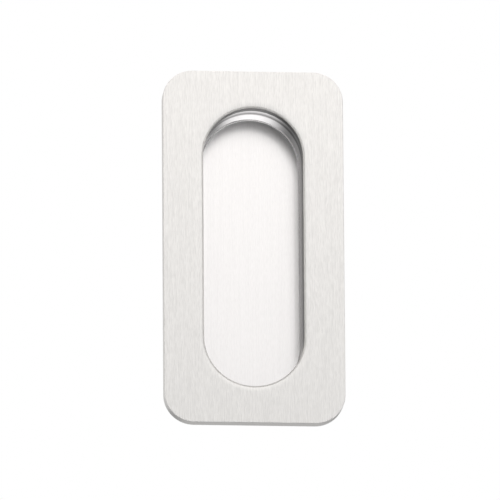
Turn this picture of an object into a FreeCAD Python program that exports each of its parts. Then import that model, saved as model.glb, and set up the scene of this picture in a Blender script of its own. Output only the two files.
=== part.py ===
"""Flush pull for a pocket door: a face plate with a drawn obround finger cup welded behind its opening.

Millimetres. X runs across the plate, Z runs up it, and the face looks towards -Y.
The origin is the middle of the door's surface, where the plate's back rests.
"""
import FreeCAD, Part
import Sketcher
import enum
import os

doc = FreeCAD.newDocument("door_pull")

# Driving dimensions, in millimetres, and the cup's draft in degrees
SIZES = {
    "plate_width": 60.0,
    "plate_height": 120.0,
    "plate_thickness": 4.4,
    "plate_corner_radius": 10.0,
    "plate_edge_radius": 0.2,
    "opening_width": 33.2,
    "opening_height": 95.0,
    "lip_slope_width": 1.3,
    "lip_slope_sink": 0.137,
    "lip_slope_radius": 12.0,
    "lip_edge_radius": 0.7,
    "cup_depth": 14.5,
    "cup_sheet": 1.0,
    "cup_draft": 5.0,
    "cup_setback": 0.7,
    "cup_floor_bend_inside": 0.3,
    "seat_depth": 0.4,
    "seat_fit_gap": 0.1,
}
sheet = doc.addObject("Spreadsheet::Sheet", "sizes")
for row, (size_name, size_value) in enumerate(SIZES.items(), 1):
    sheet.set(f"A{row}", size_name)
    sheet.set(f"B{row}", str(size_value))
    sheet.setAlias(f"B{row}", size_name)
doc.recompute()


def grown(outline, margin):
    """An outline, as its width and height, enlarged all round by a margin."""
    return tuple(f"{side} + 2 * {margin}" for side in outline)


# Outlines, each the width and the height of its shape, from the plate inwards; the cup's are at its mouth
PLATE = ("sizes.plate_width", "sizes.plate_height")
OPENING = ("sizes.opening_width", "sizes.opening_height")
CUP_INSIDE = grown(OPENING, "sizes.cup_setback")
CUP_OUTSIDE = grown(CUP_INSIDE, "sizes.cup_sheet")
SEAT = grown(CUP_OUTSIDE, "sizes.seat_fit_gap")

# Planes parallel to the door, as their distance in front of it
DOOR = "0"
FACE = "sizes.plate_thickness"
CUP_MOUTH = "sizes.seat_depth"
CUP_FLOOR = "sizes.plate_thickness - sizes.cup_depth"
CUP_BACK = f"{CUP_FLOOR} - sizes.cup_sheet"

# The cup narrows towards its floor, whose bend has the sheet round its inside radius
NARROWING = "-sizes.cup_draft"
STRAIGHT = "0"
FLOOR_BEND = "sizes.cup_floor_bend_inside + sizes.cup_sheet"

TOLERANCE = 1e-4


class At(enum.IntEnum):
    """How a sketch numbers the points of a curve."""
    START = 1
    END = 2
    CENTRE = 3


class Axis(enum.IntEnum):
    """How a sketch numbers its own axes."""
    ACROSS = -1
    UPRIGHT = -2


ORIGIN = (Axis.ACROSS, At.START)


def value(expression):
    """The present value of an expression on the sheet."""
    return float(sheet.evalExpression(expression))


def new_body(label):
    """An empty body whose label is the piece's name."""
    body = doc.addObject("PartDesign::Body", label)
    body.Label = label
    return body


def new_sketch(body, name, plane):
    """A sketch parallel to the door and at a distance in front of it, with its Y up the plate."""
    sketch = body.newObject("Sketcher::SketchObject", name)
    door_plane = next(f for f in body.Origin.OriginFeatures if f.Role == "XZ_Plane")
    sketch.AttachmentSupport = (door_plane, [""])
    sketch.MapMode = "FlatFace"
    sketch.setExpression("AttachmentOffset.Base.z", plane)
    return sketch


def constrain(sketch, name, expression, *constraint):
    """Add a sized constraint that follows an expression on the sheet."""
    index = sketch.addConstraint(Sketcher.Constraint(*constraint, value(expression)))
    sketch.renameConstraint(index, name)
    sketch.setExpression(f"Constraints.{name}", expression)


def rectangle_sketch(body, name, plane, outline):
    """A rectangle centred on the origin."""
    sketch = new_sketch(body, name, plane)
    width, height = outline
    half_x = value(width) / 2
    half_y = value(height) / 2
    corners = [(half_x, -half_y), (half_x, half_y), (-half_x, half_y), (-half_x, -half_y)]
    points = [FreeCAD.Vector(x, y, 0) for x, y in corners]
    for start, end in zip(points, points[1:] + points[:1]):
        sketch.addGeometry(Part.LineSegment(start, end))
    right, top, left, bottom = range(4)
    for line, following in ((right, top), (top, left), (left, bottom), (bottom, right)):
        sketch.addConstraint(Sketcher.Constraint("Coincident", line, At.END, following, At.START))
    for line in (right, left):
        sketch.addConstraint(Sketcher.Constraint("Vertical", line))
    for line in (top, bottom):
        sketch.addConstraint(Sketcher.Constraint("Horizontal", line))
    sketch.addConstraint(Sketcher.Constraint("Symmetric", right, At.START, left, At.START, *ORIGIN))
    constrain(sketch, "width", width, "DistanceX", top, At.END, top, At.START)
    constrain(sketch, "height", height, "DistanceY", right, At.START, right, At.END)
    return sketch


def obround_sketch(body, name, plane, outline):
    """An upright obround centred on the origin: two straight sides joined by half circles."""
    sketch = new_sketch(body, name, plane)
    width, height = outline
    radius = value(width) / 2
    rise = value(height) / 2 - radius
    up = FreeCAD.Vector(0, rise, 0)
    across = FreeCAD.Vector(radius, 0, 0)
    over = FreeCAD.Vector(0, rise + radius, 0)
    sketch.addGeometry(Part.LineSegment(across - up, across + up))
    sketch.addGeometry(Part.Arc(across + up, over, up - across))
    sketch.addGeometry(Part.LineSegment(up - across, -across - up))
    sketch.addGeometry(Part.Arc(-across - up, -over, across - up))
    right, top, left, bottom = range(4)
    for curve, following in ((right, top), (top, left), (left, bottom), (bottom, right)):
        sketch.addConstraint(Sketcher.Constraint("Tangent", curve, At.END, following, At.START))
    sketch.addConstraint(Sketcher.Constraint("Equal", top, bottom))
    sketch.addConstraint(Sketcher.Constraint("Symmetric", top, At.CENTRE, bottom, At.CENTRE, *ORIGIN))
    sketch.addConstraint(Sketcher.Constraint("PointOnObject", top, At.CENTRE, Axis.UPRIGHT))
    constrain(sketch, "radius", f"({width}) / 2", "Radius", top)
    between = f"{height} - ({width})"
    constrain(sketch, "between", between, "DistanceY", bottom, At.CENTRE, top, At.CENTRE)
    return sketch


def pad(body, name, sketch, depth, taper=STRAIGHT):
    """Material from the sketch's plane towards the inside of the door."""
    feature = body.newObject("PartDesign::Pad", name)
    feature.Profile = sketch
    feature.setExpression("Length", depth)
    feature.setExpression("TaperAngle", taper)
    feature.Reversed = True
    doc.recompute()
    return feature


def pocket(body, name, sketch, depth, taper=STRAIGHT, forwards=False):
    """A cut from the sketch's plane towards the inside of the door, or forwards."""
    before = body.Shape.Volume
    feature = body.newObject("PartDesign::Pocket", name)
    feature.Profile = sketch
    feature.setExpression("Length", depth)
    feature.setExpression("TaperAngle", taper)
    feature.Reversed = forwards
    doc.recompute()
    if feature.Shape.Volume >= before:
        raise RuntimeError(f"{name} cuts nothing")
    return feature


def edges_on_plane(base, plane, outline=PLATE):
    """Names of the edges on a plane parallel to the door that lie on or inside an outline."""
    reach_x, reach_z = (value(side) / 2 + TOLERANCE for side in outline)
    names = []
    for number, edge in enumerate(base.Shape.Edges, 1):
        points = [vertex.Point for vertex in edge.Vertexes] + [edge.CenterOfMass]
        on_plane = all(abs(point.y + value(plane)) < TOLERANCE for point in points)
        inside = all(abs(point.x) < reach_x and abs(point.z) < reach_z for point in points)
        if on_plane and inside:
            names.append(f"Edge{number}")
    return names


def edges_square_to_door(base):
    """Names of the straight edges that run square to the door."""
    names = []
    for number, edge in enumerate(base.Shape.Edges, 1):
        run = edge.Vertexes[-1].Point - edge.Vertexes[0].Point
        if abs(run.x) < TOLERANCE and abs(run.z) < TOLERANCE:
            names.append(f"Edge{number}")
    return names


def fillet(body, name, base, edges, radius):
    """Round the named edges of the base feature."""
    feature = body.newObject("PartDesign::Fillet", name)
    feature.Base = (base, edges)
    feature.setExpression("Radius", radius)
    doc.recompute()
    return feature


def build_face_plate():
    """The cover plate, with a soft lip round its opening and a shallow seat for the cup in its back."""
    body = new_body("face_plate")
    outline = rectangle_sketch(body, "plate_outline", FACE, PLATE)
    blank = pad(body, "plate_blank", outline, "sizes.plate_thickness")
    corner_edges = edges_square_to_door(blank)
    corners = fillet(body, "plate_corners", blank, corner_edges, "sizes.plate_corner_radius")
    fillet(body, "plate_edge", corners, edges_on_plane(corners, FACE), "sizes.plate_edge_radius")
    opening_outline = obround_sketch(body, "opening_outline", FACE, OPENING)
    opening = pocket(body, "opening", opening_outline, "sizes.plate_thickness")

    # The lip: a gentle slope into the opening, blended into the face, and then a small round edge
    slope = body.newObject("PartDesign::Chamfer", "lip_slope")
    slope.Base = (opening, edges_on_plane(opening, FACE, OPENING))
    slope.ChamferType = "Two distances"
    slope.setExpression("Size", "sizes.lip_slope_width")
    slope.setExpression("Size2", "sizes.lip_slope_sink")
    doc.recompute()
    slope_start = grown(OPENING, "sizes.lip_slope_width")
    blend_edges = edges_on_plane(slope, FACE, slope_start)
    blend = fillet(body, "lip_blend", slope, blend_edges, "sizes.lip_slope_radius")
    lip_plane = f"{FACE} - sizes.lip_slope_sink"
    fillet(body, "lip_edge", blend, edges_on_plane(blend, lip_plane, OPENING), "sizes.lip_edge_radius")

    seat_outline = obround_sketch(body, "seat_outline", DOOR, SEAT)
    pocket(body, "cup_seat", seat_outline, "sizes.seat_depth", forwards=True)
    return body


def build_recess_cup():
    """The finger cup: one drawn sheet that narrows a little to its floor, its edge let into the plate's back."""
    body = new_body("recess_cup")
    outside_outline = obround_sketch(body, "outside_outline", CUP_MOUTH, CUP_OUTSIDE)
    block = pad(body, "cup_block", outside_outline, f"{CUP_MOUTH} - ({CUP_BACK})", NARROWING)
    fillet(body, "floor_bend", block, edges_on_plane(block, CUP_BACK), FLOOR_BEND)
    inside_outline = obround_sketch(body, "inside_outline", CUP_MOUTH, CUP_INSIDE)
    hollow = pocket(body, "hollow", inside_outline, f"{CUP_MOUTH} - ({CUP_FLOOR})", NARROWING)
    floor_edges = edges_on_plane(hollow, CUP_FLOOR)
    fillet(body, "floor_bend_inside", hollow, floor_edges, "sizes.cup_floor_bend_inside")
    return body


def check(pieces):
    """Stop if any feature failed or any piece isn't one valid solid."""
    for feature in doc.Objects:
        if "Invalid" in feature.State or "Error" in feature.State:
            raise RuntimeError(f"{feature.Label} failed: {feature.State}")
    for piece in pieces:
        shape = piece.Shape
        if shape.isNull() or not shape.isValid() or len(shape.Solids) != 1:
            raise RuntimeError(f"{piece.Label} isn't one valid solid")


bodies = [build_face_plate(), build_recess_cup()]
doc.recompute()
check(bodies)
os.makedirs("parts", exist_ok=True)
for body in bodies:
    body.Shape.exportStep(f"parts/{body.Label}.step")
    print(f"{body.Label}: {body.Shape.Volume:.1f} mm3")
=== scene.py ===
"""Looks of the pocket door pull: its brushed steel, a light tent round it and the photograph's camera.

Metres, in the part's own frame: X across the plate, Z up it, and the face looks towards -Y.
"""

import math

import bpy
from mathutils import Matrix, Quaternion, Vector


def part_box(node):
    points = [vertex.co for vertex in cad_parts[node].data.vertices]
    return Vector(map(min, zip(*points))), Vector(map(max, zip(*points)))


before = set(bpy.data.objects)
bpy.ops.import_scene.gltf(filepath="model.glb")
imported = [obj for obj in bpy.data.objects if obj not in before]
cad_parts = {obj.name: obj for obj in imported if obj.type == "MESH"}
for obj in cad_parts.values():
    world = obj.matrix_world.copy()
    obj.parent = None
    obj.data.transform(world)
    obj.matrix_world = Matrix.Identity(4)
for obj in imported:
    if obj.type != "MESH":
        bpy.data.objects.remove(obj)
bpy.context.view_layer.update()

MM = 0.001
FACE_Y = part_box("face_plate")[0].y
RECESS_LINE = 30.9 * MM  # from the plate's centre to the centre of either round end of the recess

# The camera: the photograph looks at the face from a little below and from its left
IMAGE_PIXELS = 500
PIXELS_PER_MM = 3.025
CAMERA_LEFT = math.radians(5.0)
CAMERA_BELOW = math.radians(14.8)
CAMERA_ROLL = math.radians(-0.42)
CAMERA_DISTANCE = 4.0
SENSOR_WIDTH = 36.0
PLATE_RIGHT_PIXELS = 3.9
PLATE_UP_PIXELS = 3.7

# The floor
FLOOR_Z = -2.0
FLOOR_SIZE = 40.0
FLOOR_COLOUR = (0.86, 0.86, 0.85, 1)

# The tent. Its levels go by an angle in degrees: UPRIGHT above the horizon, ACROSS to the right of straight ahead.
# In front of the face the two are multiplied, with ACROSS_LOW below UPRIGHT's dark gap. That gap gives the recess its
# dark bands. To the right of RISE_START it climbs, by RISE for each step to the right.
TENT_RADIUS = 1.6
TENT_SEGMENTS = 96
TENT_RINGS = 48
TENT_STRENGTH = 1.85
TENT_UPRIGHT = [
    (-90, 0.05), (-75, 0.1), (-60, 0.3), (-45, 0.7), (-28, 1.12), (-22, 1.0), (-18, 0.5), (-14, 0.05), (-8, 0.0),
    (-5, 0.0), (-2.5, 0.25), (-0.5, 0.54), (4, 0.64), (8, 0.69), (13, 0.86), (17, 1.03), (22, 1.1), (45, 1.0),
    (70, 0.8), (90, 0.7),
]
TENT_ACROSS = [
    (-90, 0.7), (-50, 0.4), (-30, 0.2), (-18, 0.22), (-11, 0.05), (-8, 0.06), (-5, 0.27), (-1, 0.88), (3, 1.0),
    (8, 0.92), (14, 0.64), (22, 0.4), (35, 0.3), (90, 0.3),
]
TENT_ACROSS_LOW = [
    (-90, 0.3), (-45, 0.35), (-28, 0.5), (-15, 0.9), (0, 0.97), (4, 1.0), (25, 0.9), (45, 0.4), (90, 0.3),
]
TENT_RISE = 0.6
TENT_RISE_START = 0.1

# Its other regions: plain levels overhead and on both sides, and behind the part a range that follows UPRIGHT.
# Each span is where a region sets in, as a part of the tent's radius.
TENT_OVERHEAD = 0.58
TENT_SIDE = 0.4
TENT_BEHIND = (0.15, 0.36)
TENT_LOW_COLOUR = (1, 0.99, 0.98, 1)
TENT_HIGH_COLOUR = (1, 0.968, 0.94, 1)
LOW_SPAN = (-0.24, -0.12)
BEHIND_SPAN = (-0.05, 0.3)
SIDE_SPAN = (0.48, 0.6)
OVERHEAD_SPAN = (0.5, 0.75)
HIGH_COLOUR_SPAN = (0.2, 0.36)

# The brushing: streaks of a width and a length, and the share that each kind has
FINE_STREAKS = {"across": 0.16 * MM, "along": 2 * MM}
BROAD_STREAKS = {"across": 0.4 * MM, "along": 25 * MM}
FINE_SHARE = 0.68
BROAD_SHARE = 0.32
STREAK_DETAIL = 2.0
STREAK_SPAN = (0.3, 0.7)
STREAK_DEPTH = 0.002 * MM
STREAK_STRENGTH = 0.5
BRUSHED_ACROSS = {"X": 1.0, "Y": 0.1, "Z": 0.0}

# The surfaces, by how squarely they look outwards
FRONT_SPAN = (0.9, 0.98)
SLOPE_SPAN = (0.94, 0.988)
BEND_SPAN = (0.15, 0.4)
BEND_END_SPAN = (0.9, 0.99)

# The surfaces, by how squarely they look at the recess's middle line
EDGE_SPAN = (0.12, 0.3)
WALL_SPAN = (0.97, 0.995)

# The dark ring of painted shade in the cup's wall, by the depth behind the plate's back
RING_START_SPAN = (1.6 * MM, 4.0 * MM)
RING_END_SPAN = (4.1 * MM, 5.5 * MM)

# The wall shades are painted shade: the plate's inner wall is darkened all over, the cup's wall near its mouth and
# most in its dark ring
FACE_STEEL = {
    "colour": (0.86, 0.855, 0.845), "grain": 0.085, "drawn_out": 0.65,
    "front": 0.3, "edge": 0.95, "wall": 0.25, "rest": 0.33,
    "painted_wall_shades": (0.2, 0.2, 0.2), "painted_bend_shade": 1.0, "slope_flatness": 0.5,
}
CUP_STEEL = {
    "colour": (0.825, 0.82, 0.825), "grain": 0.04, "drawn_out": 0.2,
    "front": 0.28, "edge": 0.1, "wall": 0.1, "rest": 0.45,
    "painted_wall_shades": (0.74, 0.22, 1.0), "painted_bend_shade": 0.85, "slope_flatness": 0.0,
}


class Nodes:
    """Adds nodes to one shader tree. A socket given as an input is linked, and any other value is set."""

    def __init__(self, tree):
        self.tree = tree
        self.tree.nodes.clear()

    def add(self, kind, inputs=(), **settings):
        """A node of a kind, with its settings and with its inputs by name or number."""
        node = self.tree.nodes.new(f"ShaderNode{kind}")
        for name, value in settings.items():
            setattr(node, name, value)
        for name, value in dict(inputs).items():
            socket = node.inputs[name]
            if isinstance(value, bpy.types.NodeSocket):
                self.tree.links.new(value, socket)
            else:
                socket.default_value = value
        return node

    def math(self, operation, *values):
        """A sum on numbers or sockets."""
        return self.add("Math", enumerate(values), operation=operation).outputs["Value"]

    def place(self):
        """A point's place in the part's frame."""
        return self.add("TexCoord").outputs["Object"]

    def split(self, vector):
        """A vector's X, Y and Z."""
        return self.add("SeparateXYZ", {"Vector": vector}).outputs

    def unit(self, vector):
        """A vector's direction."""
        return self.add("VectorMath", {0: vector}, operation="NORMALIZE").outputs["Vector"]

    def scaled(self, vector, scale):
        """A vector or colour times a number."""
        return self.add("VectorMath", {0: vector, "Scale": scale}, operation="SCALE").outputs["Vector"]

    def span(self, value, low, high, to_low=0.0, to_high=1.0):
        """A value taken smoothly from one range to another, and held beyond its ends."""
        inputs = {"Value": value, "From Min": low, "From Max": high, "To Min": to_low, "To Max": to_high}
        return self.add("MapRange", inputs, interpolation_type="SMOOTHSTEP").outputs["Result"]

    def choose(self, mask, outside, inside):
        """One value where a mask is 0, another where it is 1, and a smooth passage between them."""
        return self.span(mask, 0.0, 1.0, outside, inside)

    def level(self, value, stops):
        """A brightness that follows a sine, from -1 to 1, through stops of an angle in degrees and a brightness."""
        node = self.add("FloatCurve", {"Value": self.math("MULTIPLY_ADD", value, 0.5, 0.5)})
        points = node.mapping.curves[0].points
        places = [(0.5 + 0.5 * math.sin(math.radians(angle)), brightness) for angle, brightness in stops]
        for place in places[1:-1]:
            points.new(*place)
        for point, place in zip(points, places):
            point.location = place
            point.handle_type = "AUTO_CLAMPED"
        node.mapping.use_clip = False
        node.mapping.update()
        return node.outputs["Value"]

    def streaks(self, across, along):
        """Noise drawn out along the plate's height, in streaks of a width and a length."""
        scale = (1 / across, 1 / across, 1 / along)
        stretched = self.add("Mapping", {"Vector": self.place(), "Scale": scale}, vector_type="POINT")
        inputs = {"Vector": stretched.outputs["Vector"], "Scale": 1.0, "Detail": STREAK_DETAIL}
        return self.add("TexNoise", inputs).outputs["Fac"]

    def facing_recess(self, normal):
        """How squarely a surface looks at the middle line of the obround recess, from -1 to 1."""
        place = self.split(self.place())
        on_line = self.math("MINIMUM", self.math("MAXIMUM", place["Z"], -RECESS_LINE), RECESS_LINE)
        away = self.add("CombineXYZ", {"X": place["X"], "Z": self.math("SUBTRACT", place["Z"], on_line)})
        sides = {0: self.unit(away.outputs["Vector"]), 1: normal}
        dot = self.add("VectorMath", sides, operation="DOT_PRODUCT").outputs["Value"]
        return self.math("MULTIPLY", dot, -1.0)


def new_material(name):
    """A material with an empty tree, and its tree's nodes."""
    material = bpy.data.materials.new(name)
    material.use_nodes = True
    return material, Nodes(material.node_tree)


def steel(name, colour, grain, drawn_out, front, edge, wall, rest, painted_wall_shades, painted_bend_shade, slope_flatness):
    """Stainless steel, brushed along the plate's height.

    The grain is how much the streaks lighten and darken the colour. The front, the edges round the recess, the walls
    that look into it and the rest each have a roughness, and drawn_out is how far it is drawn out across the brushing.
    The painted wall shades and the painted bend shade are painted shade: how much of the colour is left at a wall's
    mouth, in its dark ring and at its foot, and in the bend below it. A slope on the front is shaded flatter than it
    is, by slope_flatness.
    """
    material, nodes = new_material(name)
    fine = nodes.math("MULTIPLY", nodes.streaks(**FINE_STREAKS), FINE_SHARE)
    broad = nodes.math("MULTIPLY", nodes.streaks(**BROAD_STREAKS), BROAD_SHARE)
    streaks = nodes.math("ADD", fine, broad)

    normal = nodes.add("NewGeometry").outputs["Normal"]
    outwards = nodes.math("MULTIPLY", nodes.split(normal)["Y"], -1.0)
    facing = nodes.facing_recess(normal)
    is_front = nodes.span(outwards, *FRONT_SPAN)
    is_wall = nodes.span(facing, *WALL_SPAN)
    is_edge = nodes.math("SUBTRACT", nodes.span(facing, *EDGE_SPAN), is_wall)
    # is_bend marks the bend from wall to floor, whose colour is darkened there as painted shade
    is_bend = nodes.math("MULTIPLY", nodes.span(outwards, *BEND_SPAN), nodes.span(outwards, *BEND_END_SPAN, 1.0, 0.0))

    dark = tuple((1 - grain) * part for part in colour) + (1,)
    light = tuple(min(1.0, (1 + grain) * part) for part in colour) + (1,)
    brushed = nodes.add("Mix", {"Factor": nodes.span(streaks, *STREAK_SPAN), "A": dark, "B": light}, data_type="RGBA")
    # Painted shade: the walls' colour is darkened by depth, and the bend to the floor by its own amount
    shade_at_mouth, shade_in_ring, shade_at_foot = painted_wall_shades
    depth = nodes.split(nodes.place())["Y"]
    painted_shade_by_depth = nodes.span(depth, *RING_END_SPAN, nodes.span(depth, *RING_START_SPAN, shade_at_mouth, shade_in_ring), shade_at_foot)
    painted_shade = nodes.math("MULTIPLY", nodes.choose(is_wall, 1.0, painted_shade_by_depth), nodes.choose(is_bend, 1.0, painted_bend_shade))

    smooth = nodes.choose(is_front, nodes.choose(is_wall, rest, wall), front)
    flatness = nodes.span(outwards, *SLOPE_SPAN, 0.0, slope_flatness)
    flatter = nodes.add("Mix", {"Factor": flatness, "A": normal, "B": (0.0, -1.0, 0.0)}, data_type="VECTOR")
    bump = nodes.add("Bump", {
        "Height": streaks,
        "Distance": STREAK_DEPTH,
        "Strength": STREAK_STRENGTH,
        "Normal": nodes.unit(flatter.outputs["Result"]),
    })
    surface = nodes.add("BsdfPrincipled", {
        "Base Color": nodes.scaled(brushed.outputs["Result"], painted_shade),
        "Metallic": 1.0,
        "Roughness": nodes.choose(is_edge, smooth, edge),
        "Anisotropic": drawn_out,
        "Tangent": nodes.add("CombineXYZ", BRUSHED_ACROSS).outputs["Vector"],
        "Normal": bump.outputs["Normal"],
    })
    nodes.add("OutputMaterial", {"Surface": surface.outputs["BSDF"]})
    return material


def dress(node, material):
    """Give a piece of the part its material."""
    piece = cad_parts[node]
    piece.data.materials.clear()
    piece.data.materials.append(material)


def build_world():
    """White all round."""
    world = bpy.data.worlds.new("white")
    world.use_nodes = True
    nodes = Nodes(world.node_tree)
    white = nodes.add("Background", {"Color": (1, 1, 1, 1), "Strength": 1.0})
    nodes.add("OutputWorld", {"Surface": white.outputs["Background"]})
    bpy.context.scene.world = world


def tent_level(nodes, direction, height):
    """The tent's brightness in a direction."""
    upright = nodes.level(height, TENT_UPRIGHT)
    across = nodes.add("Mix", {
        "Factor": nodes.span(height, *LOW_SPAN, 1.0, 0.0),
        "A": nodes.level(direction["X"], TENT_ACROSS),
        "B": nodes.level(direction["X"], TENT_ACROSS_LOW),
    }, data_type="FLOAT").outputs["Result"]
    front = nodes.math("MULTIPLY", upright, across)
    behind = nodes.choose(upright, *TENT_BEHIND)
    middle = nodes.choose(nodes.span(direction["Y"], *BEHIND_SPAN), front, behind)
    around = nodes.choose(nodes.span(nodes.math("ABSOLUTE", direction["X"]), *SIDE_SPAN), middle, TENT_SIDE)
    return nodes.choose(nodes.span(direction["Z"], *OVERHEAD_SPAN), around, TENT_OVERHEAD)


def build_tent():
    """A tent of light round the part, unseen by the camera: light panels with dark gaps between them."""
    bpy.ops.mesh.primitive_uv_sphere_add(radius=TENT_RADIUS, segments=TENT_SEGMENTS, ring_count=TENT_RINGS)
    tent = bpy.context.object
    tent.name = "light_tent"
    material, nodes = new_material("tent_light")
    direction = nodes.split(nodes.scaled(nodes.add("NewGeometry").outputs["Position"], 1 / TENT_RADIUS))
    rightwards = nodes.math("MAXIMUM", nodes.math("SUBTRACT", direction["X"], TENT_RISE_START), 0.0)
    height = nodes.math("MULTIPLY_ADD", rightwards, -TENT_RISE, direction["Z"])
    is_high = nodes.span(height, *HIGH_COLOUR_SPAN)
    tint = nodes.add("Mix", {"Factor": is_high, "A": TENT_LOW_COLOUR, "B": TENT_HIGH_COLOUR}, data_type="RGBA")
    glow = nodes.add("Emission", {
        "Color": tint.outputs["Result"],
        "Strength": nodes.math("MULTIPLY", tent_level(nodes, direction, height), TENT_STRENGTH),
    })
    nodes.add("OutputMaterial", {"Surface": glow.outputs["Emission"]})
    tent.data.materials.append(material)
    tent.visible_camera = False
    tent.visible_diffuse = False
    tent.visible_shadow = False


def build_floor():
    """A plain pale floor, well below the part."""
    bpy.ops.mesh.primitive_plane_add(size=FLOOR_SIZE, location=(0, 0, FLOOR_Z))
    floor = bpy.context.object
    floor.name = "floor"
    material, nodes = new_material("floor_paper")
    paper = nodes.add("BsdfDiffuse", {"Color": FLOOR_COLOUR})
    nodes.add("OutputMaterial", {"Surface": paper.outputs["BSDF"]})
    floor.data.materials.append(material)


def build_camera():
    """A long lens at the photograph's angle, aimed so that the plate lies where it does there."""
    towards_camera = Vector((
        -math.sin(CAMERA_LEFT) * math.cos(CAMERA_BELOW),
        -math.cos(CAMERA_LEFT) * math.cos(CAMERA_BELOW),
        -math.sin(CAMERA_BELOW),
    ))
    turn = (-towards_camera).to_track_quat("-Z", "Y") @ Quaternion((0, 0, 1), CAMERA_ROLL)
    right = turn @ Vector((1, 0, 0))
    up = turn @ Vector((0, 1, 0))
    pixel = MM / PIXELS_PER_MM
    plate_centre = Vector((0, FACE_Y, 0))
    aim = plate_centre - right * PLATE_RIGHT_PIXELS * pixel - up * PLATE_UP_PIXELS * pixel

    data = bpy.data.cameras.new("camera")
    data.sensor_width = SENSOR_WIDTH
    data.lens = SENSOR_WIDTH * CAMERA_DISTANCE / (IMAGE_PIXELS * pixel)
    camera = bpy.data.objects.new("camera", data)
    camera.location = aim + towards_camera * CAMERA_DISTANCE
    camera.rotation_mode = "QUATERNION"
    camera.rotation_quaternion = turn
    bpy.context.scene.collection.objects.link(camera)
    bpy.context.scene.camera = camera


dress("face_plate", steel("face_steel", **FACE_STEEL))
dress("recess_cup", steel("cup_steel", **CUP_STEEL))
build_world()
build_tent()
build_floor()
build_camera()
bpy.context.scene.view_settings.view_transform = "Standard"
